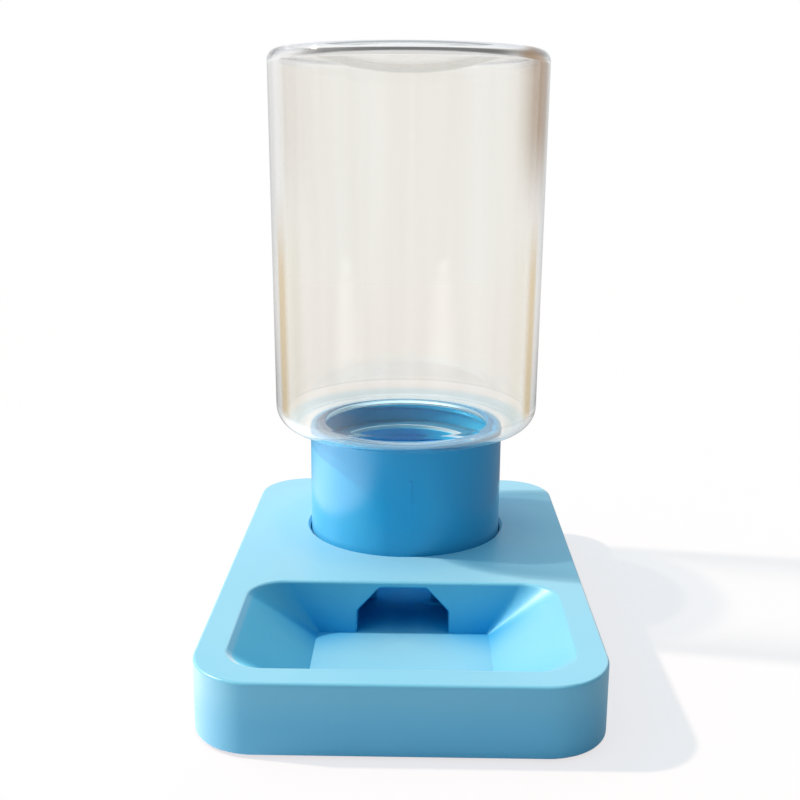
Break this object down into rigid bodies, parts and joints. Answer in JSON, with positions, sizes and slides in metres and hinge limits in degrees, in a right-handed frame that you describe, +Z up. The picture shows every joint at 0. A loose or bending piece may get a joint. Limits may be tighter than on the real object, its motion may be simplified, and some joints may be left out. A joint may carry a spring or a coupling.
{
  "type": "reptile water dispenser",
  "caption": "Gravity water dispenser for a terrarium: a clear bottle stands mouth down in a blue collar and feeds an open trough in the base through an arched passage.",
  "frame": {"origin": "on the ground, under the middle of the base", "axes": "+Z up; the front, with the trough, faces -Y; +X is to the right as seen from the front"},
  "size_m": [0.08, 0.1234, 0.1316],
  "materials": {
    "base_plastic": "satin moulded",
    "plate_plastic": "satin moulded",
    "collar_plastic": "semi-gloss moulded",
    "seal_silicone": "translucent silicone",
    "bottle_plastic": "clear, faintly warm",
    "foot_rubber": "matt"
  },
  "bodies": {
    "base": {"base_shell": "base_plastic", "bottom_plate": "plate_plastic", "foot_front_left": "foot_rubber", "foot_front_right": "foot_rubber", "foot_rear_left": "foot_rubber", "foot_rear_right": "foot_rubber"},
    "collar": {"collar": "collar_plastic"},
    "neck": {"neck_seal": "seal_silicone"},
    "bottle": {"bottle": "bottle_plastic"}
  },
  "joints": [
    {"name": "collar_lift", "type": "slide", "parent": "base", "child": "collar", "axis": [0, 0, 1], "range_m": [0, 0.02]},
    {"name": "neck_rise", "type": "slide", "parent": "collar", "child": "neck", "axis": [0, 0, 1], "range_m": [0, 0.0054]},
    {"name": "bottle_turn", "type": "hinge", "parent": "neck", "child": "bottle", "pos_m": [0, 0.02565, 0.05], "axis": [0, 0, 1], "range_deg": [0, 540]}
  ],
  "couplings": [
    {"joint": "neck_rise", "follows": "bottle_turn", "m_per_rad": 0.00055704}
  ]
}
